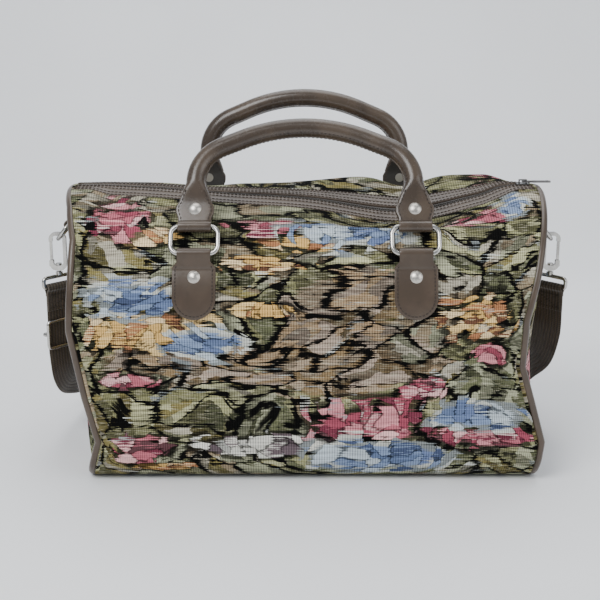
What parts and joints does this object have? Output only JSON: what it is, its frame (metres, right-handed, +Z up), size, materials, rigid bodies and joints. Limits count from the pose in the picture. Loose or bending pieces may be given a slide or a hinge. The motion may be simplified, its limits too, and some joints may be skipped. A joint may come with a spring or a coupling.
{
  "type": "carpet bag",
  "caption": "Zip-top holdall in woven tapestry with a domed top, a flat base, two rolled leather handles on metal rings and a clip-on webbing shoulder strap.",
  "frame": {"origin": "on the table under the middle of the flat base", "axes": "+X along the bag to the right end, -Y the front, +Z up"},
  "size_m": [0.4598, 0.2652, 0.3122],
  "materials": {
    "tapestry": "woven floral tapestry, matt",
    "board": "plain stiffener board",
    "trim_leather": "smooth taupe leather, semi-gloss",
    "zip_cloth": "dark brown zip tape",
    "webbing": "ribbed dark brown webbing",
    "nickel": "satin nickel",
    "zip_metal": "dark gunmetal"
  },
  "bodies": {
    "bag": {"body_panel": "tapestry", "base_board": "board", "shoulder_strap": "webbing", "tab_rivets": "nickel", "front_zip_binding": "trim_leather", "front_zip_tape": "zip_cloth", "front_left_tab": "trim_leather", "front_right_tab": "trim_leather", "back_zip_binding": "trim_leather", "back_zip_tape": "zip_cloth", "back_left_tab": "trim_leather", "back_right_tab": "trim_leather", "left_end_panel": "tapestry", "left_piping": "trim_leather", "left_end_tab": "trim_leather", "left_hook_eye": "nickel", "right_end_panel": "tapestry", "right_piping": "trim_leather", "right_end_tab": "trim_leather", "right_hook_eye": "nickel"},
    "zip_slider": {"zip_slider": "zip_metal"},
    "zip_pull": {"zip_pull": "zip_metal"},
    "front_left_ring": {"front_left_ring": "nickel"},
    "front_right_ring": {"front_right_ring": "nickel"},
    "front_handle": {"front_handle": "trim_leather", "front_handle_rivets": "nickel"},
    "back_left_ring": {"back_left_ring": "nickel"},
    "back_right_ring": {"back_right_ring": "nickel"},
    "back_handle": {"back_handle": "trim_leather", "back_handle_rivets": "nickel"},
    "left_d_ring": {"left_d_ring": "nickel"},
    "left_hook": {"left_hook": "nickel"},
    "left_hook_gate": {"left_hook_gate": "nickel"},
    "right_d_ring": {"right_d_ring": "nickel"},
    "right_hook": {"right_hook": "nickel"},
    "right_hook_gate": {"right_hook_gate": "nickel"},
    "strap_slide": {"strap_slide": "nickel"}
  },
  "joints": [
    {"name": "zip_run", "type": "slide", "parent": "bag", "child": "zip_slider", "axis": [-1, 0, 0], "range_m": [0, 0.377]},
    {"name": "pull_flip", "type": "hinge", "parent": "zip_slider", "child": "zip_pull", "pos_m": [0.1885, 0, 0.23764], "axis": [0, -1, 0], "range_deg": [0, 165]},
    {"name": "front_left_ring_swing", "type": "hinge", "parent": "bag", "child": "front_left_ring", "pos_m": [-0.089, -0.08793, 0.19211], "axis": [1, 0, 0], "range_deg": [-5, 100]},
    {"name": "front_right_ring_swing", "type": "hinge", "parent": "bag", "child": "front_right_ring", "pos_m": [0.089, -0.08793, 0.19211], "axis": [1, 0, 0], "range_deg": [-5, 100]},
    {"name": "front_handle_swing", "type": "hinge", "parent": "front_left_ring", "child": "front_handle", "pos_m": [0, -0.07643, 0.21202], "axis": [1, 0, 0], "range_deg": [-8, 90]},
    {"name": "back_left_ring_swing", "type": "hinge", "parent": "bag", "child": "back_left_ring", "pos_m": [-0.089, 0.08793, 0.19211], "axis": [1, 0, 0], "range_deg": [-85, 15]},
    {"name": "back_right_ring_swing", "type": "hinge", "parent": "bag", "child": "back_right_ring", "pos_m": [0.089, 0.08793, 0.19211], "axis": [1, 0, 0], "range_deg": [-85, 15]},
    {"name": "back_handle_swing", "type": "hinge", "parent": "back_left_ring", "child": "back_handle", "pos_m": [0, 0.08315, 0.2146], "axis": [1, 0, 0], "range_deg": [-90, 30]},
    {"name": "left_d_ring_swing", "type": "hinge", "parent": "bag", "child": "left_d_ring", "pos_m": [-0.2044, 0, 0.201], "axis": [0, 1, 0], "range_deg": [-3, 4]},
    {"name": "left_hook_swivel", "type": "hinge", "parent": "bag", "child": "left_hook", "pos_m": [-0.21627, 0, 0.1667], "axis": [0, 0, 1], "range_deg": [-15, 15]},
    {"name": "left_gate_press", "type": "hinge", "parent": "left_hook", "child": "left_hook_gate", "pos_m": [-0.22227, 0, 0.1667], "axis": [0, 1, 0], "range_deg": [0, 20], "stiffness_Nm_per_rad": 0.02, "springref_deg": -5.73},
    {"name": "right_d_ring_swing", "type": "hinge", "parent": "bag", "child": "right_d_ring", "pos_m": [0.2044, 0, 0.201], "axis": [0, -1, 0], "range_deg": [-3, 4]},
    {"name": "right_hook_swivel", "type": "hinge", "parent": "bag", "child": "right_hook", "pos_m": [0.21627, 0, 0.1667], "axis": [0, 0, 1], "range_deg": [-15, 15]},
    {"name": "right_gate_press", "type": "hinge", "parent": "right_hook", "child": "right_hook_gate", "pos_m": [0.22227, 0, 0.1667], "axis": [0, -1, 0], "range_deg": [0, 20], "stiffness_Nm_per_rad": 0.02, "springref_deg": -5.73},
    {"name": "strap_adjust", "type": "slide", "parent": "bag", "child": "strap_slide", "axis": [0, 0, 1], "range_m": [-0.008, 0.008]}
  ],
  "couplings": [
    {"joint": "front_right_ring_swing", "follows": "front_left_ring_swing", "ratio": 1},
    {"joint": "back_right_ring_swing", "follows": "back_left_ring_swing", "ratio": 1}
  ]
}
